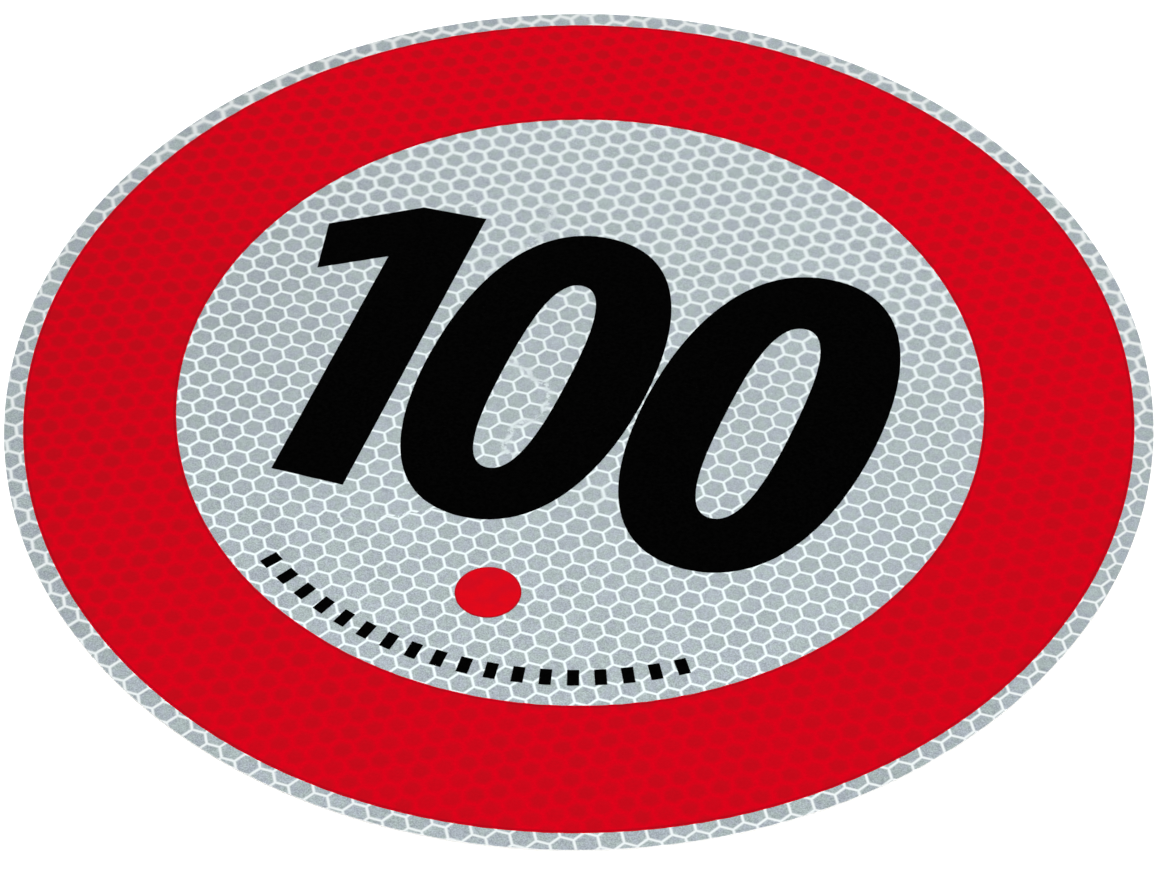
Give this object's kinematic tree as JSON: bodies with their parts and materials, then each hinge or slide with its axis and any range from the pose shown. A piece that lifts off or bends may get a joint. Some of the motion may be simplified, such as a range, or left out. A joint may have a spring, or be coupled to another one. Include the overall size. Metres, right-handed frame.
{
  "type": "speed limit sign",
  "caption": "Round speed limit disc of thin adhesive-backed reflective sheeting, with a pressed honeycomb face, red ring and black figures.",
  "frame": {"origin": "centre of the disc at its adhesive back", "axes": "+Z out of the printed face, +Y up the figures, +X along the line of figures"},
  "size_m": [0.2, 0.2, 0.0005],
  "materials": {
    "reflective_white": "pale grey-white reflective sheeting with a honeycomb of lighter seal lines, satin",
    "red_print": "see-through red print over the honeycomb, satin",
    "black_print": "solid black film, matte"
  },
  "bodies": {
    "root": {"reflective_sheet": "reflective_white", "red_ring": "red_print", "figure_one": "black_print", "figure_zero_middle": "black_print", "figure_zero_last": "black_print", "red_dot": "red_print", "marking_bars": "black_print"}
  },
  "joints": []
}
